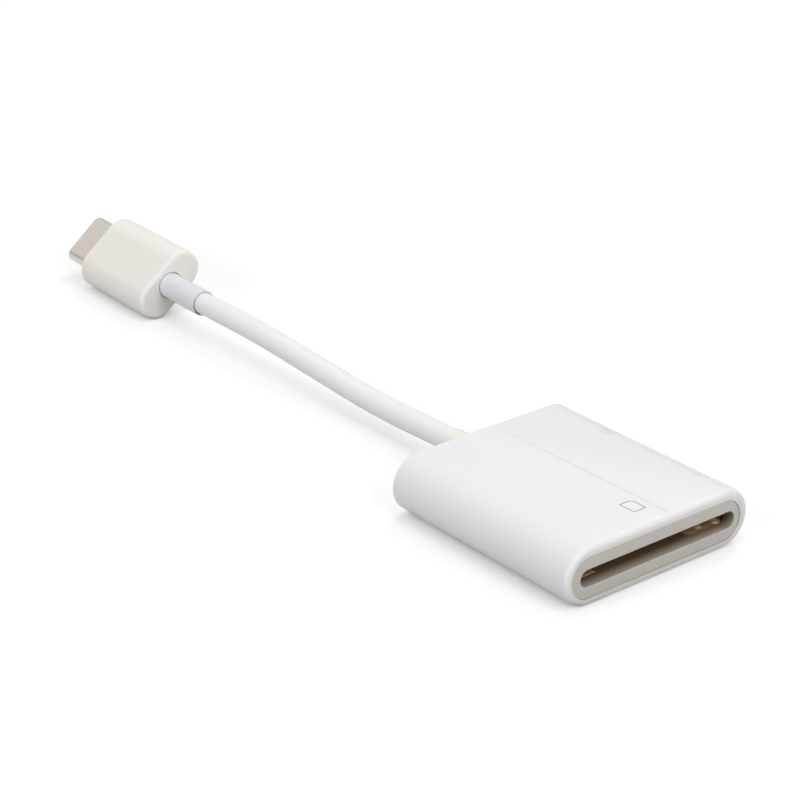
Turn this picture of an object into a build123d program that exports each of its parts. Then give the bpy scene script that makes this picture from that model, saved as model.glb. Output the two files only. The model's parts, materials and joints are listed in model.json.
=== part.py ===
from build123d import *
import os
from math import pi, radians, sin, tan

# A memory card reader on a short cord, in millimetres. X runs across it, the card slot faces -Y,
# +Z is up, and the origin is under the middle of the sleeve, on the surface that it rests on.

# Sleeve: a flat tube with fully rounded sides, closed behind
sleeve_width = 30.4
sleeve_length = 32.6
sleeve_height = 7.9
wall = 1.3
rear_wall = 1.4
lip = 1.15
mouth_shift = -0.3
mouth_drop = 0.1
rim_round = 0.75
rear_edge = 0.4
rib_width = 1.2
rib_spread = 16.0

# Bezel in the sleeve's mouth, with the card slot
bezel_thick = 1.7
bezel_recess = 0.1
bezel_fit = 0.05
bezel_side = 1.2
slot_drop = 0.22
slot_side_play = 0.8
slot_rise_play = 0.1
slot_end_flat = 0.2
slot_edge = 0.06

# Card, and the socket that takes it
card_thick = 2.1
card_side_play = 0.2
card_rise_play = 0.15
socket_gap = 0.1
socket_wall = 0.7
socket_rear_wall = 0.9
cover_sheet = 0.2
cover_skirt = 1.6
cover_cutout_width = 13.0
cover_cutout_depth = 4.5
foot_depth = 3.4
left_foot_reach = 8.3
left_foot_set_back = 0.5
right_foot_reach = 6.7
right_foot_corner = 0.9
foot_fit = 0.1
dimple_height = 0.1
small_dimple_radius = 0.45
small_dimple_inset = 3.6
small_dimple_set_back = 0.95
large_dimple_radius = 0.6
large_dimple_inset = 0.8
large_dimple_set_back = 0.65

# Contact springs of the socket
contact_count = 9
contact_pitch = 2.5
contact_width = 0.9
contact_sheet = 0.15
contact_fit = 0.12
contact_tail = 1.0
contact_seat = 2.0
contact_arm = 4.5
contact_tip = 1.3
contact_rise = 0.45
contact_bend = 0.6
switch_pocket = 0.5
switch_length = 6.0
switch_height = 1.2
switch_bump = 0.35

# Board and what is soldered on it
board_side_inset = 0.5
board_thick = 0.6
board_corner = 0.8
chip_side = 4.5
chip_height = 0.85
chip_edge = 0.15
crystal_length = 3.2
crystal_width = 2.5
crystal_height = 0.75
crystal_corner = 0.5
regulator_length = 2.9
regulator_width = 1.6
regulator_height = 1.0
leg_pitch = 0.95
leg_width = 0.4
leg_thick = 0.2
leg_reach = 0.4
small_part_length = 1.0
small_part_width = 0.5
capacitor_height = 0.5
resistor_height = 0.35
small_part_pitch = 1.6
small_part_edge_gap = 0.75
row_gap = 0.25
tail_gap = 0.4
crystal_gap = 0.5
chip_inset = 2.6

# Cord, its collar at the sleeve and the ring crimped on it inside
cord_diameter = 3.3
cord_drop = 0.25
jacket_play = 0.1
collar_play = 0.03
collar_wall = 0.5
collar_length = 5.7
collar_tip_wall = 0.1
collar_groove = 0.25
collar_flange = 0.35
collar_flange_thick = 1.0
collar_fit = 0.05
clamp_wall = 0.45
clamp_length = 2.0
clamp_fit = 0.02
cord_stub = 0.5
wire_diameter = 0.62
wire_spread = 0.5
wire_sides = 6
wire_run = 1.65
pad_pitch = 1.4
pad_reach = 2.0

# Plug: how it lies, its boot and the tube that comes out of it
plug_distance = 72.2
plug_roll = 40.0
plug_turn = -1.4
boot_length = 18.0
boot_round = 0.7
boot_front_edge = 0.5
boot_side_wall = 1.55
boot_top_wall = 0.75
boot_rear_wall = 1.2
boot_front_wall = 2.5
relief_wall = 0.2
relief_length = 9.0
relief_flange = 0.3
relief_flange_thick = 1.2
relief_fit = 0.12

# Plug: the standard oval shell and what it holds
shell_width = 8.25
shell_height = 2.4
shell_reach = 6.8
shell_sheet = 0.28
shell_tail = 5.4
shell_edge = 0.15
shell_fit = 0.05
insert_fit = 0.02
insert_length = 8.2
insert_set_back = 0.4
mouth_width = 6.9
mouth_height = 0.9
pin_count = 12
pin_pitch = 0.5
pin_width = 0.26
pin_thick = 0.1
pin_length = 9.8
pin_set_back = 1.0
latch_thick = 0.2
latch_height = 0.5
latch_length = 7.0
latch_set_back = 1.3
plug_board_width = 7.0
plug_board_length = 9.8
plug_board_gap = 0.2
shield_side_room = 0.275
shield_top_room = 1.1
shield_corner = 0.8
shield_sheet = 0.25
shield_fit = 0.05
shield_length = 10.8

# What follows from those sizes: the sleeve gives the slot its width, for a card 24 mm wide, and the
# socket the length that the bezel, the board's rear and the cord's anchor leave
slot_width = sleeve_width - 2 * (lip + bezel_fit + bezel_side)
slot_height = card_thick + 2 * slot_rise_play
slot_corner = (slot_height - slot_end_flat) / 2
card_width = slot_width - 2 * slot_side_play
mouth_depth = bezel_recess + bezel_thick
part_row_depth = small_part_edge_gap + small_part_width
board_behind = contact_tail + tail_gap + chip_side + row_gap + part_row_depth
cord_anchor = wire_run + cord_stub + clamp_length + collar_flange_thick

front = -sleeve_length / 2
rear = sleeve_length / 2
middle = sleeve_height / 2
mouth_middle = Pos(mouth_shift, middle - mouth_drop)
card_level = middle - slot_drop
shoulder = front + mouth_depth
cavity_rear = rear - rear_wall
socket_front = shoulder + socket_gap
board_rear = cavity_rear - cord_anchor
socket_rear = board_rear - board_behind
channel_half = card_width / 2 + card_side_play
channel_floor = card_level - card_thick / 2 - card_rise_play
channel_top = card_level + card_thick / 2 + card_rise_play
socket_half = channel_half + socket_wall
cover_half = socket_half + cover_sheet
cover_top = channel_top + cover_sheet
board_top = channel_floor - cover_sheet
board_bottom = board_top - board_thick
board_half = socket_half - board_side_inset
foot_rear = socket_front + foot_depth
contact_xs = [contact_pitch * (i - (contact_count - 1) / 2) for i in range(contact_count)]
part_back = small_part_edge_gap + small_part_width / 2
chip_back = part_row_depth + row_gap + chip_side / 2
chip_x = -board_half + chip_inset + chip_side / 2
crystal_x = 2 * pad_pitch + wire_diameter + crystal_length / 2
regulator_x = crystal_x + (crystal_length + regulator_length) / 2 + crystal_gap

cord_radius = cord_diameter / 2
cord_height = middle - cord_drop
jacket_bore = cord_radius + jacket_play
collar_bore = cord_radius + collar_play
collar_radius = cord_radius + collar_wall
collar_neck = collar_radius - collar_groove
collar_end = rear + collar_length
flange_front = cavity_rear - collar_flange_thick
clamp_front = flange_front - clamp_length
cord_start = clamp_front - cord_stub

shield_width = shell_width + 2 * shield_side_room
shield_height = shell_height + 2 * shield_top_room
hollow_width = shield_width + 2 * shield_fit
hollow_height = shield_height + 2 * shield_fit
boot_width = hollow_width + 2 * boot_side_wall
boot_height = hollow_height + 2 * boot_top_wall
boot_half_round = boot_height / 2
boot_lift = boot_half_round + (boot_width / 2 - boot_half_round) * sin(radians(plug_roll))
plug_axis_place = Pos(0, rear + plug_distance, boot_lift) * Rot(0, 0, plug_turn)
plug_place = plug_axis_place * Rot(0, -plug_roll, 0)
relief_radius = jacket_bore + relief_wall
relief_flange_rear = boot_rear_wall + relief_flange_thick
cord_finish = relief_flange_rear + cord_stub
cavity_front = boot_length - boot_front_wall
shield_rear = cavity_front - shield_fit - shield_length
shell_tip = boot_length + shell_reach
shell_rear = boot_length - shell_tail
insert_front = shell_tip - insert_set_back
insert_rear = insert_front - insert_length
plug_board_front = insert_rear - plug_board_gap
plug_board_thick = mouth_height - 2 * pin_thick


def block(x0, x1, y0, y1, z0, z1):
    """A box from its lowest to its highest corner."""
    size = Box(x1 - x0, y1 - y0, z1 - z0)
    return Pos((x0 + x1) / 2, (y0 + y1) / 2, (z0 + z1) / 2) * size


def bar(section, start, stop):
    """A section drawn in X and Z, carried along Y from start to stop."""
    return extrude(Plane.XZ.offset(-stop) * section, stop - start)


def plate(outline, bottom, top):
    """An outline drawn in X and Y, carried up from bottom to top."""
    return extrude(Plane.XY.offset(bottom) * outline, top - bottom)


def round_bar(radius, start, stop, height=0.0):
    """A cylinder along Y at a height."""
    return bar(Pos(0, height) * Circle(radius), start, stop)


def oval(width, height):
    """An outline with two flat sides and two half-round ends."""
    return SlotOverall(width, height)


def sprung_strip(points):
    """A strip of contact sheet bent along points, as a flat section."""
    return trace(FilletPolyline(*points, radius=contact_bend), contact_sheet)


def wire(points):
    """A six-sided wire of the cord's bundle along points, mitred where it bends."""
    path = Polyline(*points)
    start = Plane(origin=path @ 0, x_dir=(1, 0, 0), z_dir=path % 0)
    section = RegularPolygon(wire_diameter / 2, wire_sides, major_radius=False)
    return sweep(start * section, path=path, transition=Transition.RIGHT)


# Housing

def housing_sleeve():
    at_middle = Pos(0, middle)
    sleeve = bar(at_middle * oval(sleeve_width, sleeve_height), front, rear)
    sleeve = chamfer(sleeve.faces().sort_by(Axis.Y)[-1].edges(), rear_edge)
    sleeve = fillet(sleeve.faces().sort_by(Axis.Y)[0].edges(), rim_round)
    sleeve -= bar(mouth_middle * oval(sleeve_width - 2 * lip, sleeve_height - 2 * lip), front, shoulder)
    sleeve -= bar(at_middle * oval(sleeve_width - 2 * wall, sleeve_height - 2 * wall), shoulder, cavity_rear)
    sleeve -= round_bar(collar_neck + collar_fit, cavity_rear, rear, cord_height)
    for side in (-1, 1):
        x0 = side * rib_spread / 2 - rib_width / 2
        x1 = x0 + rib_width
        sleeve += block(x0, x1, socket_front, board_rear, wall, board_bottom)
        rib_front = socket_front + cover_cutout_depth
        sleeve += block(x0, x1, rib_front, socket_rear, cover_top, sleeve_height - wall)
    return sleeve


def front_bezel():
    outline = oval(sleeve_width - 2 * (lip + bezel_fit), sleeve_height - 2 * (lip + bezel_fit))
    bezel = bar(mouth_middle * outline, front + bezel_recess, shoulder)
    slot = RectangleRounded(slot_width, slot_height, slot_corner)
    bezel -= bar(Pos(0, card_level) * slot, front, shoulder)
    slot_mouth = bezel.faces().sort_by(Axis.Y)[0].inner_wires()[0].edges()
    return chamfer(slot_mouth, slot_edge)


# Card socket

def card_socket_base():
    base = block(-socket_half, socket_half, socket_front, socket_rear, board_top, channel_top)
    back = socket_rear - socket_rear_wall
    base -= block(-channel_half, channel_half, socket_front, back, channel_floor, channel_top)
    room_rear = foot_rear + foot_fit
    room_front = socket_front + left_foot_set_back - foot_fit
    base -= block(-socket_half, -left_foot_reach + foot_fit, room_front, room_rear, board_top, channel_top)
    base -= block(right_foot_reach - foot_fit, socket_half, socket_front, room_rear, board_top, channel_top)
    half = contact_width / 2 + contact_fit
    reach = contact_seat + contact_arm + contact_tip + contact_width
    for x in contact_xs:
        base -= block(x - half, x + half, socket_rear - reach, socket_rear, board_top, channel_floor)
    pocket = channel_half + switch_pocket
    pocket_top = channel_floor + switch_height + contact_fit
    for x0, x1 in ((-pocket, -channel_half), (channel_half, pocket)):
        base -= block(x0, x1, back - switch_length, back, channel_floor, pocket_top)
    return base


def card_socket_cover():
    cover = block(-cover_half, cover_half, socket_front, socket_rear, channel_top, cover_top)
    cutout = RectangleRounded(cover_cutout_width, 2 * cover_cutout_depth, cover_cutout_depth / 2)
    cover -= plate(Pos(0, socket_front) * cutout, channel_top, cover_top)
    skirt = channel_top - cover_skirt
    for x0, x1 in ((-cover_half, -socket_half), (socket_half, cover_half)):
        cover += block(x0, x1, foot_rear, socket_rear, skirt, channel_top)
        cover += block(x0, x1, socket_front + left_foot_set_back, foot_rear, board_top, channel_top)
    left_front = socket_front + left_foot_set_back
    left = block(-socket_half, -left_foot_reach, left_front, foot_rear, board_top, channel_floor)
    right = block(right_foot_reach, socket_half, socket_front, foot_rear, board_top, channel_floor)
    right = fillet(right.edges().filter_by(Axis.Z).group_by(Axis.Y)[0], right_foot_corner)
    cover += left
    cover += right
    small = Pos(socket_half - small_dimple_inset, socket_front + small_dimple_set_back)
    large = Pos(socket_half - large_dimple_inset, socket_front + large_dimple_set_back)
    dimple_top = channel_floor + dimple_height
    cover += plate(small * Circle(small_dimple_radius), channel_floor, dimple_top)
    cover += plate(large * Circle(large_dimple_radius), channel_floor, dimple_top)
    return cover


def card_contacts():
    seat = board_top + contact_sheet / 2
    bend = socket_rear - contact_seat
    crown = bend - contact_arm
    line = [
        (socket_rear + contact_tail, seat),
        (bend, seat),
        (crown, channel_floor + contact_rise),
        (crown - contact_tip, seat + contact_sheet),
    ]
    spring = extrude(Plane.YZ.offset(-contact_width / 2) * sprung_strip(line), contact_width)
    return [Pos(x, 0, 0) * spring for x in contact_xs]


def side_switch(side):
    """A spring in the pocket of one side wall, with a bump that the card pushes back."""
    back = socket_rear - socket_rear_wall
    seat = channel_half + switch_pocket - contact_sheet / 2
    arm = switch_length / 3
    line = [
        (side * seat, back),
        (side * seat, back - arm),
        (side * (channel_half - switch_bump), back - 2 * arm),
        (side * (channel_half + contact_sheet), back - switch_length + contact_sheet),
    ]
    return plate(sprung_strip(line), channel_floor, channel_floor + switch_height)


# Board

def circuit_board():
    middle_y = (socket_front + board_rear) / 2
    outline = RectangleRounded(2 * board_half, board_rear - socket_front, board_corner)
    return plate(Pos(0, middle_y) * outline, board_bottom, board_top)


def on_board(x, from_rear, length, width, height):
    """A box soldered on the board, at a place across it and a distance from its rear edge."""
    y = board_rear - from_rear
    return block(x - length / 2, x + length / 2, y - width / 2, y + width / 2, board_top, board_top + height)


def controller_chip():
    chip = on_board(chip_x, chip_back, chip_side, chip_side, chip_height)
    return chamfer(chip.faces().sort_by(Axis.Z)[-1].edges(), chip_edge)


def crystal():
    can = on_board(crystal_x, chip_back, crystal_length, crystal_width, crystal_height)
    return fillet(can.edges().filter_by(Axis.Z), crystal_corner)


def voltage_regulator():
    body = on_board(regulator_x, chip_back, regulator_length, regulator_width, regulator_height)
    for place in (-1, 0, 1):
        x = regulator_x + place * leg_pitch
        body += on_board(x, chip_back, leg_width, regulator_width + 2 * leg_reach, leg_thick)
    return body


def small_parts(first_x, count, height):
    """A row of like parts along the board's rear edge."""
    xs = [first_x + i * small_part_pitch for i in range(count)]
    return [on_board(x, part_back, small_part_length, small_part_width, height) for x in xs]


# Cord

def rear_collar():
    flange_radius = collar_neck + collar_flange
    outline = Polyline(
        (collar_bore, flange_front),
        (flange_radius, flange_front),
        (flange_radius, cavity_rear),
        (collar_neck, cavity_rear),
        (collar_neck, rear),
        (collar_radius, rear),
        (collar_bore + collar_tip_wall, collar_end),
        (collar_bore, collar_end),
        close=True,
    )
    collar = Pos(0, 0, cord_height) * revolve(make_face(outline), Axis.Y)
    room = sleeve_height - 2 * (wall + collar_fit)
    flats = bar(Pos(0, middle) * Rectangle(sleeve_width, room), flange_front, collar_end)
    return collar & flats


def cord_clamp():
    clamp = round_bar(cord_radius + clamp_fit + clamp_wall, clamp_front, flange_front, cord_height)
    return clamp - round_bar(cord_radius + clamp_fit, clamp_front, flange_front, cord_height)


def on_plug_axis(y):
    """A point on the plug's axis, at a distance in front of the boot's rear face."""
    return (plug_axis_place * Pos(0, y, 0)).position


def cord_route():
    return [
        Vector(0, cord_start, cord_height),
        Vector(0, cord_start + 12.5, cord_height),
        Vector(0, cord_start + 25.6, cord_height - 0.55),
        Vector(0, cord_start + 40.6, cord_height + 0.3),
        Vector(0, cord_start + 54.1, cord_height + 1.13),
        on_plug_axis(cord_finish - 12.9),
        on_plug_axis(cord_finish),
    ]


def cable():
    """The jacket: straight runs with a tangent arc, as large as fits, at each point between them."""
    points = cord_route()
    runs = [b - a for a, b in zip(points, points[1:])]
    radii = []
    for before, after in zip(runs, runs[1:]):
        shorter = min(before.length, after.length)
        radii.append(0.45 * shorter / tan(radians(before.get_angle(after)) / 2))
    path = FilletPolyline(*points, radius=radii)
    jacket = sweep(Plane(origin=path @ 0, z_dir=path % 0) * Circle(cord_radius), path=path)
    print("cord radii", [round(r) for r in radii], "length", round(path.length, 2))
    print("cord volume", round(jacket.volume, 2), "of", round(pi * cord_radius**2 * path.length, 2))
    return jacket


def reader_end_wires():
    seat = board_top + wire_diameter / 2
    wires = []
    for side in (-1, 1):
        for up, pad in ((-1, 0.5), (1, 1.5)):
            x0 = side * wire_spread
            x1 = side * pad * pad_pitch
            z0 = cord_height + up * wire_spread
            gap = cord_start - board_rear
            points = [
                (x0, cord_start, z0),
                (x0, cord_start - gap / 4, z0),
                (x1, board_rear, seat),
                (x1, board_rear - pad_reach, seat),
            ]
            wires.append(wire(points))
    return wires


# Plug, drawn along +Y from the boot's rear face, and then laid in its place

def plug_boot():
    boot = bar(oval(boot_width, boot_height), 0, boot_length)
    boot = fillet(boot.faces().sort_by(Axis.Y)[0].edges(), boot_round)
    boot = chamfer(boot.faces().sort_by(Axis.Y)[-1].edges(), boot_front_edge)
    boot -= bar(RectangleRounded(hollow_width, hollow_height, shield_corner), boot_rear_wall, cavity_front)
    boot -= round_bar(relief_radius + relief_fit, 0, boot_rear_wall)
    opening = oval(shell_width + 2 * shell_fit, shell_height + 2 * shell_fit)
    return boot - bar(opening, cavity_front, boot_length)


def plug_strain_relief():
    relief = round_bar(relief_radius, -relief_length, boot_rear_wall)
    relief += round_bar(relief_radius + relief_flange, boot_rear_wall, relief_flange_rear)
    return relief - round_bar(jacket_bore, -relief_length, relief_flange_rear)


def plug_shell():
    shell = bar(oval(shell_width, shell_height), shell_rear, shell_tip)
    shell = chamfer(shell.faces().sort_by(Axis.Y)[-1].edges(), shell_edge)
    bore = oval(shell_width - 2 * shell_sheet, shell_height - 2 * shell_sheet)
    return shell - bar(bore, shell_rear, shell_tip)


def plug_insulator():
    room = shell_sheet + insert_fit
    insert = bar(oval(shell_width - 2 * room, shell_height - 2 * room), insert_rear, insert_front)
    return insert - bar(Rectangle(mouth_width, mouth_height), insert_rear, insert_front)


def plug_contacts(side):
    """A row of contacts against the upper or lower wall of the insert's mouth."""
    outer = side * mouth_height / 2
    inner = outer - side * pin_thick
    stop = insert_front - pin_set_back
    xs = [pin_pitch * (i - (pin_count - 1) / 2) for i in range(pin_count)]
    low, high = min(inner, outer), max(inner, outer)
    half = pin_width / 2
    return [block(x - half, x + half, stop - pin_length, stop, low, high) for x in xs]


def plug_latches():
    stop = insert_front - latch_set_back
    arm = block(0, latch_thick, stop - latch_length, stop, -latch_height / 2, latch_height / 2)
    inner = mouth_width / 2 - latch_thick
    return [Pos(inner, 0, 0) * arm, Pos(-mouth_width / 2, 0, 0) * arm]


def plug_board():
    half = plug_board_width / 2
    thick = plug_board_thick / 2
    return block(-half, half, plug_board_front - plug_board_length, plug_board_front, -thick, thick)


def plug_shield():
    outside = RectangleRounded(shield_width, shield_height, shield_corner)
    inner_corner = shield_corner - shield_sheet
    inside = RectangleRounded(shield_width - 2 * shield_sheet, shield_height - 2 * shield_sheet, inner_corner)
    front_face = shield_rear + shield_length
    shield = bar(outside, shield_rear, front_face)
    shield -= bar(inside, shield_rear, front_face - shield_sheet)
    opening = oval(shell_width + 2 * shell_fit, shell_height + 2 * shell_fit)
    return shield - bar(opening, front_face - shield_sheet, front_face)


def plug_end_wires():
    board_edge = plug_board_front - plug_board_length
    seat = (plug_board_thick + wire_diameter) / 2
    wires = []
    for side in (-1, 1):
        for up in (-1, 1):
            points = [
                (side * wire_spread, cord_finish, up * wire_spread),
                (side * wire_spread, cord_finish + wire_diameter, up * wire_spread),
                (side * pad_pitch, board_edge - wire_diameter / 2, up * seat),
                (side * pad_pitch, board_edge + pad_reach, up * seat),
            ]
            wires.append(wire(points))
    return wires


def laid(shape):
    """A piece of the plug, or each of a group, in the place where the plug lies."""
    if isinstance(shape, list):
        return [plug_place * one for one in shape]
    return plug_place * shape


nodes = {
    "housing_sleeve": housing_sleeve(),
    "front_bezel": front_bezel(),
    "card_socket_base": card_socket_base(),
    "card_socket_cover": card_socket_cover(),
    "card_contacts": card_contacts(),
    "card_detect_contact": side_switch(1),
    "write_protect_contact": side_switch(-1),
    "circuit_board": circuit_board(),
    "controller_chip": controller_chip(),
    "crystal": crystal(),
    "voltage_regulator": voltage_regulator(),
    "capacitors": small_parts(chip_x - small_part_pitch, 4, capacitor_height),
    "resistors": small_parts(crystal_x - small_part_length, 4, resistor_height),
    "rear_collar": rear_collar(),
    "cord_clamp": cord_clamp(),
    "cable": cable(),
    "reader_end_wires": reader_end_wires(),
    "plug_boot": laid(plug_boot()),
    "plug_strain_relief": laid(plug_strain_relief()),
    "plug_shell": laid(plug_shell()),
    "plug_insulator": laid(plug_insulator()),
    "plug_upper_contacts": laid(plug_contacts(1)),
    "plug_lower_contacts": laid(plug_contacts(-1)),
    "plug_latches": laid(plug_latches()),
    "plug_board": laid(plug_board()),
    "plug_shield": laid(plug_shield()),
    "plug_end_wires": laid(plug_end_wires()),
}

os.makedirs("parts", exist_ok=True)
for name, shape in nodes.items():
    solid = Compound(children=shape) if isinstance(shape, list) else shape
    export_step(solid, f"parts/{name}.step")
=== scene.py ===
"""Looks of a memory card reader on a short cord, lying on a white table."""
import json
import math

import bpy
import numpy as np
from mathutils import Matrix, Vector


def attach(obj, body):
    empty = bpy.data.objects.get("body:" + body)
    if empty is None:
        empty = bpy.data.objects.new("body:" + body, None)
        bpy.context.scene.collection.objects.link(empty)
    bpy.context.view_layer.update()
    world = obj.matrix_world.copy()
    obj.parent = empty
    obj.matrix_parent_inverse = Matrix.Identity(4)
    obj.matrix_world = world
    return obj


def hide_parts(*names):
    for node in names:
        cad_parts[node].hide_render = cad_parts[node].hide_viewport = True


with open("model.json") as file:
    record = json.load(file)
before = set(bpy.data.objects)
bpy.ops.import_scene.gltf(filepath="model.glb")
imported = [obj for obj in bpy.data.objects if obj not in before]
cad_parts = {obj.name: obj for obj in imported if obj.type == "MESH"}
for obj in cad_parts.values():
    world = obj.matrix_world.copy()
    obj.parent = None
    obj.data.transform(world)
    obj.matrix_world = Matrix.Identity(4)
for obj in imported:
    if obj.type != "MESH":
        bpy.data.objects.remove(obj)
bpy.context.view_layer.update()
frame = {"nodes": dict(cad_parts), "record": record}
nodes = frame["nodes"]
scene = bpy.context.scene
MM = 0.001

# Sizes of the solids that the finishes and pieces here follow, in millimetres
SLEEVE_TOP = 7.9
SLEEVE_FRONT = -16.3
SLEEVE_REAR = 16.3
BEZEL_FRONT = -16.2
# The next two heights are where painted shade starts to darken the bezel's face towards its bottom.
BEZEL_SHADE_LOW = (0.9, 2.8)
BEZEL_SHADE_HIGH = (4.7, 6.7)
MOUTH_MIDDLE = (-0.3, 3.85)
MOUTH_HALF_RUN = 11.25
MOUTH_RADIUS = 2.8
SLOT_RIGHT_END = (11.0, 12.3)
FEET_FRONT = -13.9
DIMPLES = [((9.3, -13.45), 0.5), ((12.1, -13.75), 0.75)]
# The next range, across the boot, is where a painted sheen pales its rounded sides.
BOOT_SHEEN_SIDES = (2.4, 3.3)
BOOT_HEIGHT = 4.964
BOOT_ROLL = math.radians(40.0)
CORD_DIAMETER = 3.3
CORD_ROUTE = [
    (0.0, 11.4, 3.7),
    (0.0, 23.9, 3.7),
    (0.0, 37.0, 3.15),
    (0.0, 52.0, 4.0),
    (0.0, 65.5, 4.83),
    (-0.244, 78.503, 4.964),
    (0.071, 91.399, 4.964),
]

# Marks and painted shade on the sleeve, in millimetres: pairs are front and rear, inner and outer, low and
# high, or X and Y
LINE_PLACE = (1.78, 1.5)
LINE_HALF_WIDTH = (0.3, 0.07)
LINE_STRENGTH = (0.5, 1.0)
RUBBED_SPOT = (11.7, 5.35)
RUBBED_RADII = (0.8, 1.25)
SPECK = (4.06, -12.25)
SPECK_RADII = (0.08, 0.2)
GREYER_RIGHT = (1.0, 10.0)
GREYER_SLANT = 0.3
# The next three mark painted shade: the darker right side, the band round the mouth and the grey low lip.
SHADED_RIGHT_SIDE = (12.7, 13.5)
RIM_SHADE_WIDTH = 0.8
LOW_RIM_SHADE = (0.9, 1.9)
MARK_LINE = 0.13
MARK_SUNK = 0.02
MARK_PROUD = 0.012
MARK_CUT = ((-0.23, -10.56), (0.50, -10.52), (0.56, -11.43))
MARK_CORNERS = [(-1.44, -10.63), (-1.38, -13.10), (0.43, -13.06)]


# Camera

CAMERA_PLACE = (-0.180493, -0.190517, 0.137874)
CAMERA_AIM = (-0.01210, 0.01832, 0.01450)
LENS = 106.0


def place_camera():
    """The photograph's viewpoint: a long lens, from the left of the slot and above it."""
    data = bpy.data.cameras.new("camera")
    data.sensor_width = 36.0
    data.lens = LENS
    data.clip_start = 0.01
    camera = bpy.data.objects.new("camera", data)
    camera.location = CAMERA_PLACE
    aim = Vector(CAMERA_AIM) - camera.location
    camera.rotation_euler = aim.to_track_quat("-Z", "Y").to_euler()
    scene.collection.objects.link(camera)
    scene.camera = camera


# Meshes

def surface(name, points, closed_along=False, closed_across=False):
    """A mesh from a grid of points, rows by columns by xyz in millimetres: each cell is one quad."""
    rows, columns = points.shape[:2]
    index = np.arange(rows * columns).reshape(rows, columns)
    if closed_along:
        index = np.concatenate([index, index[:1]], axis=0)
    if closed_across:
        index = np.concatenate([index, index[:, :1]], axis=1)
    corners = [index[:-1, :-1], index[:-1, 1:], index[1:, 1:], index[1:, :-1]]
    quads = np.stack(corners, axis=-1).reshape(-1, 4)
    mesh = bpy.data.meshes.new(name)
    mesh.from_pydata((points.reshape(-1, 3) * MM).tolist(), [], quads.tolist())
    mesh.polygons.foreach_set("use_smooth", np.ones(len(quads), dtype=bool))
    piece = bpy.data.objects.new(name, mesh)
    scene.collection.objects.link(piece)
    return piece


# Node helpers

EFFECT_OUTPUTS = {
    "Colour": "NodeSocketColor",
    "Roughness": "NodeSocketFloat",
    "Height": "NodeSocketFloat",
}


def new_group(name, inputs):
    """A shader node group with named sockets: inputs map a name to a default."""
    group = bpy.data.node_groups.new(name, "ShaderNodeTree")
    for label, default in inputs.items():
        kind = "NodeSocketColor" if isinstance(default, tuple) else "NodeSocketFloat"
        socket = group.interface.new_socket(label, in_out="INPUT", socket_type=kind)
        socket.default_value = default
    for label, kind in EFFECT_OUTPUTS.items():
        group.interface.new_socket(label, in_out="OUTPUT", socket_type=kind)
    return group, group.nodes.new("NodeGroupInput"), group.nodes.new("NodeGroupOutput")


def put(socket, value):
    """Links a socket to an output, or sets its value."""
    if isinstance(value, bpy.types.NodeSocket):
        socket.id_data.links.new(value, socket)
    else:
        socket.default_value = value


def maths(tree, operation, a, b=0.0):
    node = tree.nodes.new("ShaderNodeMath")
    node.operation = operation
    put(node.inputs[0], a)
    put(node.inputs[1], b)
    return node.outputs[0]


def blended(tree, share, a, b, mode="MIX"):
    node = tree.nodes.new("ShaderNodeMix")
    node.data_type = "RGBA"
    node.blend_type = mode
    put(node.inputs["Factor"], share)
    put(node.inputs[6], a)
    put(node.inputs[7], b)
    return node.outputs[2]


def ramp(tree, value, low, high, to_low=0.0, to_high=1.0):
    """A value mapped smoothly from the range low to high onto the range to_low to to_high."""
    node = tree.nodes.new("ShaderNodeMapRange")
    node.interpolation_type = "SMOOTHSTEP"
    for socket, number in zip(node.inputs[:5], (value, low, high, to_low, to_high)):
        put(socket, number)
    return node.outputs[0]


def noise(tree, vector, scale, detail=2.0, roughness=0.5):
    node = tree.nodes.new("ShaderNodeTexNoise")
    put(node.inputs["Vector"], vector)
    put(node.inputs["Scale"], scale)
    node.inputs["Detail"].default_value = detail
    node.inputs["Roughness"].default_value = roughness
    return node.outputs["Fac"]


def object_place(tree):
    return tree.nodes.new("ShaderNodeTexCoord").outputs["Object"]


def scaled(tree, vector, factor):
    node = tree.nodes.new("ShaderNodeVectorMath")
    node.operation = "SCALE"
    put(node.inputs[0], vector)
    put(node.inputs["Scale"], factor)
    return node.outputs[0]


def place_parts(tree):
    """X, Y and Z of a point of the object, in millimetres."""
    split = tree.nodes.new("ShaderNodeSeparateXYZ")
    put(split.inputs[0], scaled(tree, object_place(tree), 1.0 / MM))
    return split.outputs[0], split.outputs[1], split.outputs[2]


def long_side(tree, a, b):
    """The root of a squared plus b squared."""
    squares = maths(tree, "ADD", maths(tree, "POWER", a, 2.0), maths(tree, "POWER", b, 2.0))
    return maths(tree, "SQRT", squares)


def near_spot(tree, x, y, centre, inner, outer):
    """1 within the inner radius of an upright line through the centre, 0 beyond the outer radius."""
    across = maths(tree, "SUBTRACT", x, centre[0])
    along = maths(tree, "SUBTRACT", y, centre[1])
    return ramp(tree, long_side(tree, across, along), inner, outer, 1.0, 0.0)


def mixture(tree, a, b, share):
    """A share of a and the rest of b, added."""
    return maths(tree, "ADD", maths(tree, "MULTIPLY", a, share), maths(tree, "MULTIPLY", b, 1.0 - share))


def varied(tree, middle, pattern, depth):
    """A middle value moved up and down by a pattern of 0 to 1, by half the depth at most."""
    swing = maths(tree, "MULTIPLY", maths(tree, "SUBTRACT", pattern, 0.5), depth)
    return maths(tree, "ADD", middle, swing)


# Effects that several finishes share

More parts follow.
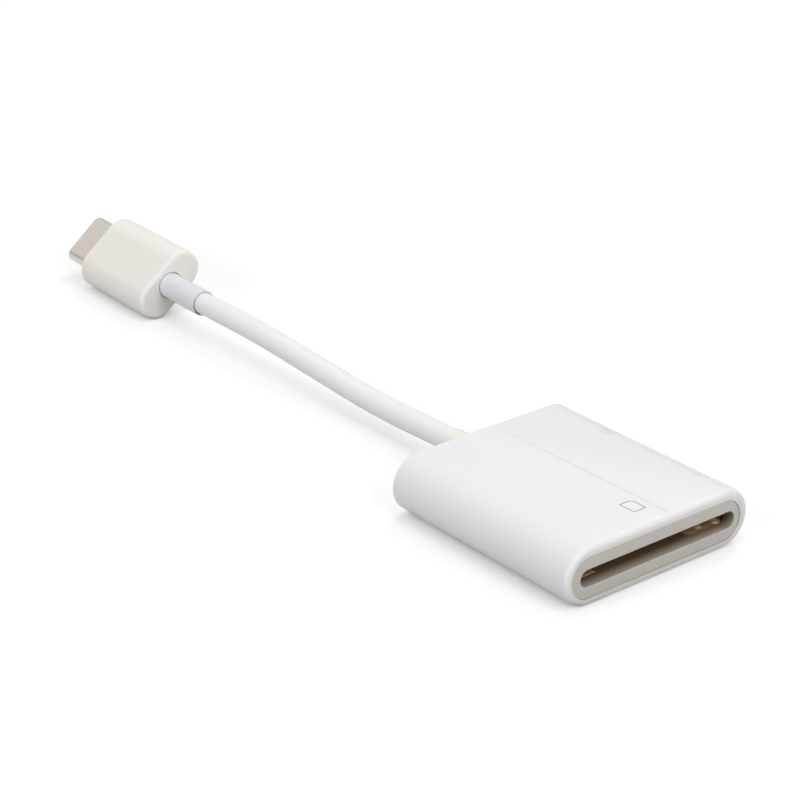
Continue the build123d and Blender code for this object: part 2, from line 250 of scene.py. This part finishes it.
def moulded_skin_group():
    """Moulded plastic: broad cloudy tone, fine tone, gloss that varies and an orange-peel height."""
    inputs = {
        "Colour": (0.8, 0.8, 0.8, 1.0),
        "Tone depth": 0.02,
        "Cloud scale": 90.0,
        "Skin scale": 1800.0,
        "Roughness": 0.4,
        "Gloss depth": 0.05,
    }
    group, given, out = new_group("moulded_skin", inputs)
    place = object_place(group)
    cloud = noise(group, place, given.outputs["Cloud scale"], 3.0)
    skin = noise(group, place, given.outputs["Skin scale"], 2.0)
    tone = mixture(group, cloud, skin, 0.7)
    factor = varied(group, 1.0, tone, given.outputs["Tone depth"])
    put(out.inputs["Colour"], scaled(group, given.outputs["Colour"], factor))
    roughness = varied(group, given.outputs["Roughness"], cloud, given.outputs["Gloss depth"])
    put(out.inputs["Roughness"], roughness)
    put(out.inputs["Height"], skin)
    return group


def drawn_metal_group():
    """Drawn or rolled sheet: fine lines stretched along Y, in tone, gloss and height."""
    inputs = {
        "Colour": (0.6, 0.6, 0.6, 1.0),
        "Tone depth": 0.1,
        "Line scale": 2500.0,
        "Stretch": 0.03,
        "Stain scale": 350.0,
        "Roughness": 0.3,
        "Gloss depth": 0.15,
    }
    group, given, out = new_group("drawn_metal", inputs)
    place = object_place(group)
    squeezed = group.nodes.new("ShaderNodeVectorMath")
    squeezed.operation = "MULTIPLY"
    put(squeezed.inputs[0], place)
    stretch = group.nodes.new("ShaderNodeCombineXYZ")
    put(stretch.inputs[0], 1.0)
    put(stretch.inputs[1], given.outputs["Stretch"])
    put(stretch.inputs[2], 1.0)
    put(squeezed.inputs[1], stretch.outputs[0])
    lines = noise(group, squeezed.outputs[0], given.outputs["Line scale"], 3.0, 0.6)
    stain = noise(group, place, given.outputs["Stain scale"], 3.0)
    tone = mixture(group, lines, stain, 0.5)
    factor = varied(group, 1.0, tone, given.outputs["Tone depth"])
    put(out.inputs["Colour"], scaled(group, given.outputs["Colour"], factor))
    roughness = varied(group, given.outputs["Roughness"], lines, given.outputs["Gloss depth"])
    put(out.inputs["Roughness"], roughness)
    put(out.inputs["Height"], lines)
    return group


MOULDED_SKIN = moulded_skin_group()
DRAWN_METAL = drawn_metal_group()


# Finishes

SKIN_HEIGHT = 2e-6
LINE_HEIGHT = 1e-6


def new_finish(name, group, values, height, metallic):
    """A Principled material fed by one of the effect groups."""
    material = bpy.data.materials.new(name)
    material.use_nodes = True
    tree = material.node_tree
    shader = tree.nodes["Principled BSDF"]
    shader.inputs["Metallic"].default_value = metallic
    effect = tree.nodes.new("ShaderNodeGroup")
    effect.node_tree = group
    for label, value in values.items():
        effect.inputs[label].default_value = value
    put(shader.inputs["Base Color"], effect.outputs["Colour"])
    put(shader.inputs["Roughness"], effect.outputs["Roughness"])
    relief = tree.nodes.new("ShaderNodeBump")
    relief.inputs["Strength"].default_value = 1.0
    relief.inputs["Distance"].default_value = height
    put(relief.inputs["Height"], effect.outputs["Height"])
    put(shader.inputs["Normal"], relief.outputs["Normal"])
    return material


def rgb(*levels):
    """A colour from sRGB levels of 0 to 255, as a linear RGBA."""
    share = np.array(levels) / 255.0
    linear = np.where(share <= 0.04045, share / 12.92, ((share + 0.055) / 1.055) ** 2.4)
    return tuple(linear.tolist()) + (1.0,)


def moulded(name, colour, roughness, tone=0.02):
    values = {"Colour": colour, "Roughness": roughness, "Tone depth": tone}
    return new_finish(name, MOULDED_SKIN, values, SKIN_HEIGHT, 0.0)


def metal(name, colour, roughness, metallic=1.0):
    values = {"Colour": colour, "Roughness": roughness}
    return new_finish(name, DRAWN_METAL, values, LINE_HEIGHT, metallic)


def lay_over(finish, mask, colour, mode="MIX"):
    """A colour laid over a finish where the mask is 1."""
    tree = finish.node_tree
    shader = tree.nodes["Principled BSDF"]
    under = shader.inputs["Base Color"].links[0].from_socket
    put(shader.inputs["Base Color"], blended(tree, mask, under, colour, mode))


def tone_down(finish, mask, red, green, blue):
    """The finish's colour times a share of each channel where the mask is 1."""
    lay_over(finish, mask, (red, green, blue, 1.0), "MULTIPLY")


def rim_reach(tree, x, z):
    """How far a point lies outside the mouth's outline, a slot with round ends, seen from the front."""
    past_middle = maths(tree, "ABSOLUTE", maths(tree, "SUBTRACT", x, MOUTH_MIDDLE[0]))
    past_end = maths(tree, "MAXIMUM", maths(tree, "SUBTRACT", past_middle, MOUTH_HALF_RUN), 0.0)
    above = maths(tree, "SUBTRACT", z, MOUTH_MIDDLE[1])
    return maths(tree, "SUBTRACT", long_side(tree, past_end, above), MOUTH_RADIUS)


def shell_finish():
    """White shell: a darker line along its top, greyer to the right, a rubbed spot and a speck, with
    painted shade that is darker on the right, warm round the mouth and grey low down at the front."""
    finish = moulded("white_shell", rgb(234, 234, 234), 0.38)
    tree = finish.node_tree
    x, y, z = place_parts(tree)
    top = ramp(tree, z, SLEEVE_TOP - 0.7, SLEEVE_TOP - 0.3)
    line_place = ramp(tree, y, SLEEVE_FRONT, SLEEVE_REAR, *LINE_PLACE)
    aside = maths(tree, "ABSOLUTE", maths(tree, "SUBTRACT", x, line_place))
    half_width = ramp(tree, y, SLEEVE_FRONT, SLEEVE_REAR, *LINE_HALF_WIDTH)
    line = ramp(tree, maths(tree, "DIVIDE", aside, half_width), 0.3, 1.4, 1.0, 0.0)
    line = maths(tree, "MULTIPLY", line, ramp(tree, y, SLEEVE_FRONT + 0.1, SLEEVE_FRONT + 0.6))
    strength = ramp(tree, y, SLEEVE_FRONT, SLEEVE_REAR, *LINE_STRENGTH)
    line = maths(tree, "MULTIPLY", line, maths(tree, "MULTIPLY", top, strength))
    tone_down(finish, line, 0.86, 0.86, 0.86)
    to_right = maths(tree, "ADD", maths(tree, "MULTIPLY", y, GREYER_SLANT), x)
    grey = maths(tree, "MULTIPLY", ramp(tree, to_right, *GREYER_RIGHT), top)
    tone_down(finish, grey, 0.95, 0.95, 0.955)
    # painted shade: the right side of the shell is darker, where less light falls
    tone_down(finish, ramp(tree, x, *SHADED_RIGHT_SIDE), 0.87, 0.87, 0.87)
    rubbed = near_spot(tree, x, y, RUBBED_SPOT, *RUBBED_RADII)
    tone_down(finish, rubbed, 0.915, 0.915, 0.915)
    speck = maths(tree, "MULTIPLY", near_spot(tree, x, y, SPECK, *SPECK_RADII), top)
    tone_down(finish, speck, 0.88, 0.88, 0.88)
    # painted shade: a warm grey band on the front face round the mouth
    front = ramp(tree, y, SLEEVE_FRONT + 0.2, SLEEVE_FRONT + 1.0, 1.0, 0.0)
    near_mouth = ramp(tree, rim_reach(tree, x, z), 0.0, RIM_SHADE_WIDTH, 1.0, 0.0)
    rim_shade = maths(tree, "MULTIPLY", near_mouth, front)
    tone_down(finish, rim_shade, 0.91, 0.885, 0.85)
    # painted shade: the front lip is greyer low down, where less light reaches it
    low_rim_shade = maths(tree, "MULTIPLY", ramp(tree, z, *LOW_RIM_SHADE, 1.0, 0.0), front)
    tone_down(finish, low_rim_shade, 0.82, 0.815, 0.81)
    return finish


def bezel_finish():
    """Greyer insert with painted shade: the slot's walls turn brown and dark with depth and warmer, most at
    its right end, and the face is darker towards its bottom.
    """
    finish = moulded("white_bezel", rgb(198, 194, 186), 0.5)
    tree = finish.node_tree
    x, y, z = place_parts(tree)
    # painted shade: the slot's walls darken to brown the deeper they go
    depth = ramp(tree, y, BEZEL_FRONT + 0.15, BEZEL_FRONT + 1.7)
    lay_over(finish, depth, (0.24, 0.168, 0.108, 1.0))
    # painted shade: warmer within the slot, and more so at its right end
    warm_shade_inside = ramp(tree, y, BEZEL_FRONT + 0.05, BEZEL_FRONT + 0.3)
    tone_down(finish, warm_shade_inside, 1.0, 0.955, 0.9)
    right_end_shade = maths(tree, "MULTIPLY", ramp(tree, x, *SLOT_RIGHT_END), warm_shade_inside)
    tone_down(finish, right_end_shade, 1.0, 0.91, 0.84)
    # painted shade: the bezel's face darkens towards its bottom
    tone_down(finish, ramp(tree, z, *BEZEL_SHADE_HIGH, 1.0, 0.0), 0.93, 0.93, 0.93)
    tone_down(finish, ramp(tree, z, *BEZEL_SHADE_LOW, 1.0, 0.0), 0.93, 0.925, 0.92)
    return finish


def socket_metal_finish():
    """Gilt sheet with painted highlights: paler on its two dimples and along its front edges."""
    finish = metal("socket_metal", rgb(206, 166, 116), 0.5, metallic=0.45)
    tree = finish.node_tree
    x, y, _ = place_parts(tree)
    # painted highlight along the feet's front edges, stronger on the left
    front_edge_highlight = ramp(tree, y, FEET_FRONT + 0.05, FEET_FRONT + 0.3, 1.0, 0.0)
    more_on_left = ramp(tree, x, -2.0, 2.0, 0.8, 0.25)
    lay_over(finish, maths(tree, "MULTIPLY", front_edge_highlight, more_on_left), rgb(246, 226, 192))
    # painted highlights on the two dimples
    for centre, radius in DIMPLES:
        dimple_highlight = near_spot(tree, x, y, centre, radius * 0.7, radius * 1.15)
        lay_over(finish, dimple_highlight, rgb(252, 236, 206))
    return finish


def boot_finish():
    """Cream plastic: a painted sheen makes its rounded sides a little paler than its flats."""
    finish = moulded("cream_boot", rgb(239, 235, 229), 0.4)
    tree = finish.node_tree
    x, _, z = place_parts(tree)
    lift = maths(tree, "MULTIPLY", maths(tree, "SUBTRACT", z, BOOT_HEIGHT), math.sin(BOOT_ROLL))
    across = maths(tree, "ADD", maths(tree, "MULTIPLY", x, math.cos(BOOT_ROLL)), lift)
    # painted sheen: the rounded sides are paler than the flats
    side_sheen = ramp(tree, maths(tree, "ABSOLUTE", across), *BOOT_SHEEN_SIDES)
    lay_over(finish, side_sheen, rgb(243, 238, 232))
    return finish


FINISHES = {
    "white_shell": shell_finish(),
    "white_bezel": bezel_finish(),
    "cream_boot": boot_finish(),
    "cord_white": moulded("cord_white", rgb(240, 240, 240), 0.45),
    "relief_white": moulded("relief_white", rgb(227, 227, 234), 0.42),
    "plug_steel": metal("plug_steel", rgb(211, 203, 195), 0.3),
    "inner_steel": metal("inner_steel", rgb(205, 203, 200), 0.3),
    "socket_metal": socket_metal_finish(),
    "gold": metal("gold", rgb(226, 190, 110), 0.3),
    "black_moulding": moulded("black_moulding", rgb(52, 47, 42), 0.6),
    "board": moulded("board", rgb(48, 58, 44), 0.5),
    "ceramic_part": moulded("ceramic_part", rgb(176, 150, 118), 0.6),
    "resistor_part": moulded("resistor_part", rgb(34, 34, 34), 0.5),
    "wire_sheath": moulded("wire_sheath", rgb(196, 70, 58), 0.5),
}
OWN_FINISHES = {
    "rear_collar": moulded("pale_collar", rgb(242, 241, 234), 0.45),
    "card_socket_base": moulded("brown_socket", rgb(104, 86, 62), 0.6),
}


def dress_solids():
    """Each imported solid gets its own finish, or the one that its slot in the record names."""
    for entry in frame["record"]["subparts"]:
        piece = nodes[entry["node"]]
        piece.data.materials.clear()
        finish = OWN_FINISHES.get(entry["node"], FINISHES[entry["material_slot"]])
        piece.data.materials.append(finish)


# Printed mark

def print_card_mark():
    """The outline of a card printed on the top: a thin flat band carried round a closed path of straight
    runs and one rounded corner. Each point is moved in and out along its corner's bisector by half the
    band's width."""
    turn = np.linspace(0.0, np.pi / 2, 9)[:, None]
    start, corner, end = (np.array(point) for point in MARK_CUT)
    cut = corner + (start - corner) * (1.0 - np.sin(turn)) + (end - corner) * (1.0 - np.cos(turn))
    path = np.concatenate([cut[::-1], MARK_CORNERS])
    ahead = np.roll(path, -1, axis=0) - path
    ahead /= np.linalg.norm(ahead, axis=1, keepdims=True)
    behind = np.roll(ahead, 1, axis=0)
    bisector = np.stack([ahead[:, 1] + behind[:, 1], -ahead[:, 0] - behind[:, 0]], axis=1)
    bisector *= 2.0 / np.sum(bisector**2, axis=1, keepdims=True)
    outer = path + bisector * MARK_LINE / 2
    inner = path - bisector * MARK_LINE / 2
    band = np.empty((len(path), 4, 3))
    band[:, 0, :2] = band[:, 1, :2] = inner
    band[:, 2, :2] = band[:, 3, :2] = outer
    band[:, (0, 3), 2] = SLEEVE_TOP - MARK_SUNK
    band[:, (1, 2), 2] = SLEEVE_TOP + MARK_PROUD
    mark = surface("card_mark", band, closed_along=True, closed_across=True)
    mark.data.materials.append(moulded("printed_grey", rgb(140, 140, 140), 0.6, tone=0.1))
    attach(mark, "root")


# Cord

def make_cord():
    """A smooth NURBS line with the route's points as control points, given the cord's thickness."""
    curve = bpy.data.curves.new("cord", "CURVE")
    curve.dimensions = "3D"
    spline = curve.splines.new("NURBS")
    spline.points.add(len(CORD_ROUTE) - 1)
    points = np.ones((len(CORD_ROUTE), 4))
    points[:, :3] = np.array(CORD_ROUTE) * MM
    spline.points.foreach_set("co", points.ravel())
    spline.order_u = 3
    spline.use_endpoint_u = True
    spline.resolution_u = 16
    curve.bevel_depth = CORD_DIAMETER / 2 * MM
    curve.bevel_resolution = 10
    curve.use_fill_caps = True
    cord = bpy.data.objects.new("cord", curve)
    scene.collection.objects.link(cord)
    curve.materials.append(FINISHES["cord_white"])
    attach(cord, "root")
    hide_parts("cable")


# Table and light

def seen_rays(tree):
    """1 for the rays that show a surface, by sight, gloss or glass, and 0 for those that light."""
    path = tree.nodes.new("ShaderNodeLightPath")
    seen = maths(tree, "MAXIMUM", path.outputs["Is Camera Ray"], path.outputs["Is Glossy Ray"])
    return maths(tree, "MAXIMUM", seen, path.outputs["Is Transmission Ray"])


TABLE_HALF = 1500.0
TABLE_BOUNCE = 0.38
TABLE_SHADE = 0.467
TABLE_GLOW = 0.592
CONTACT_REACH = 0.007
CONTACT_FALL = 5.0
TABLE_FADES = (0.2, 0.45)


def lay_table():
    """A white table top: a flat grid. It is grey card to the reader, nearly white to the eye, white far off
    and dark where the two meet."""
    line = np.linspace(-TABLE_HALF, TABLE_HALF, 5)
    x, y = np.meshgrid(line, line, indexing="xy")
    table = surface("table", np.stack([x, y, np.zeros_like(x)], axis=-1))
    material = bpy.data.materials.new("table_top")
    material.use_nodes = True
    tree = material.node_tree
    tree.nodes.clear()
    out = tree.nodes.new("ShaderNodeOutputMaterial")
    seen = seen_rays(tree)
    card = tree.nodes.new("ShaderNodeBsdfDiffuse")
    bounce, shade = ((level, level, level, 1.0) for level in (TABLE_BOUNCE, TABLE_SHADE))
    put(card.inputs["Color"], blended(tree, seen, bounce, shade))
    away = tree.nodes.new("ShaderNodeVectorMath")
    away.operation = "LENGTH"
    put(away.inputs[0], object_place(tree))
    far = ramp(tree, away.outputs["Value"], *TABLE_FADES)
    contact = tree.nodes.new("ShaderNodeAmbientOcclusion")
    contact.samples = 4
    contact.inputs["Distance"].default_value = CONTACT_REACH
    glow = tree.nodes.new("ShaderNodeEmission")
    shut_share = maths(tree, "EXPONENT", maths(tree, "MULTIPLY", contact.outputs["AO"], -CONTACT_FALL))
    open_share = maths(tree, "SUBTRACT", 1.0, shut_share)
    level = maths(tree, "MULTIPLY", seen, TABLE_GLOW)
    put(glow.inputs["Strength"], maths(tree, "MULTIPLY", level, open_share))
    both = tree.nodes.new("ShaderNodeAddShader")
    put(both.inputs[0], card.outputs[0])
    put(both.inputs[1], glow.outputs[0])
    white = tree.nodes.new("ShaderNodeEmission")
    put(white.inputs["Strength"], seen)
    faded = tree.nodes.new("ShaderNodeMixShader")
    put(faded.inputs[0], maths(tree, "MULTIPLY", far, seen))
    put(faded.inputs[1], both.outputs[0])
    put(faded.inputs[2], white.outputs[0])
    put(out.inputs["Surface"], faded.outputs[0])
    table.data.materials.append(material)


# Soft boxes round the table: azimuth and elevation as seen from the reader, and level
LAMPS = {
    "overhead": (0.0, 88.0, 0.237),
    "left_low": (-90.0, 25.0, 0.528),
    "front_high": (0.0, 40.0, 0.273),
    "front_low": (0.0, 15.0, 0.26),
    "right_low": (60.0, 20.0, 0.191),
    "back_right": (120.0, 45.0, 0.356),
    "back_low": (180.0, 20.0, 0.097),
}
LAMP_SIZE = 0.35
LAMP_DISTANCE = 0.7
LAMP_AIM = (0.0, 0.04, 0.0)
ROOM_LEVEL = 0.03
WALL_LEVEL = 0.5
WALL_FADES = (0.05, 0.5)


def hang_lamp(name, azimuth, elevation, level):
    """A square soft box aimed at the reader. The level is what a white card facing it would read."""
    data = bpy.data.lights.new(name, "AREA")
    data.shape = "SQUARE"
    data.size = LAMP_SIZE
    data.energy = level * math.pi**2 * LAMP_DISTANCE**2
    body = bpy.data.objects.new(name, data)
    body.visible_camera = False
    body.visible_glossy = False
    turn, lift = math.radians(azimuth), math.radians(elevation)
    back = Vector((math.sin(turn) * math.cos(lift), -math.cos(turn) * math.cos(lift), math.sin(lift)))
    body.location = Vector(LAMP_AIM) + back * LAMP_DISTANCE
    body.rotation_euler = (-back).to_track_quat("-Z", "Y").to_euler()
    scene.collection.objects.link(body)


def light_room():
    """A white room that lights the reader a little. The eye sees white, and gloss sees greyer walls."""
    world = bpy.data.worlds.new("room")
    scene.world = world
    world.use_nodes = True
    tree = world.node_tree
    direction = tree.nodes.new("ShaderNodeSeparateXYZ")
    put(direction.inputs[0], tree.nodes.new("ShaderNodeTexCoord").outputs["Generated"])
    walls = ramp(tree, direction.outputs[2], *WALL_FADES, WALL_LEVEL, 1.0)
    path = tree.nodes.new("ShaderNodeLightPath")
    shown = maths(tree, "MAXIMUM", walls, path.outputs["Is Camera Ray"])
    background = tree.nodes["Background"]
    background.inputs["Color"].default_value = (1.0, 1.0, 1.0, 1.0)
    mixed = tree.nodes.new("ShaderNodeMix")
    put(mixed.inputs["Factor"], seen_rays(tree))
    put(mixed.inputs[2], ROOM_LEVEL)
    put(mixed.inputs[3], shown)
    put(background.inputs["Strength"], mixed.outputs[0])
    for name, place in LAMPS.items():
        hang_lamp(name, *place)


scene.view_settings.view_transform = "Standard"
place_camera()
dress_solids()
print_card_mark()
make_cord()
lay_table()
light_room()
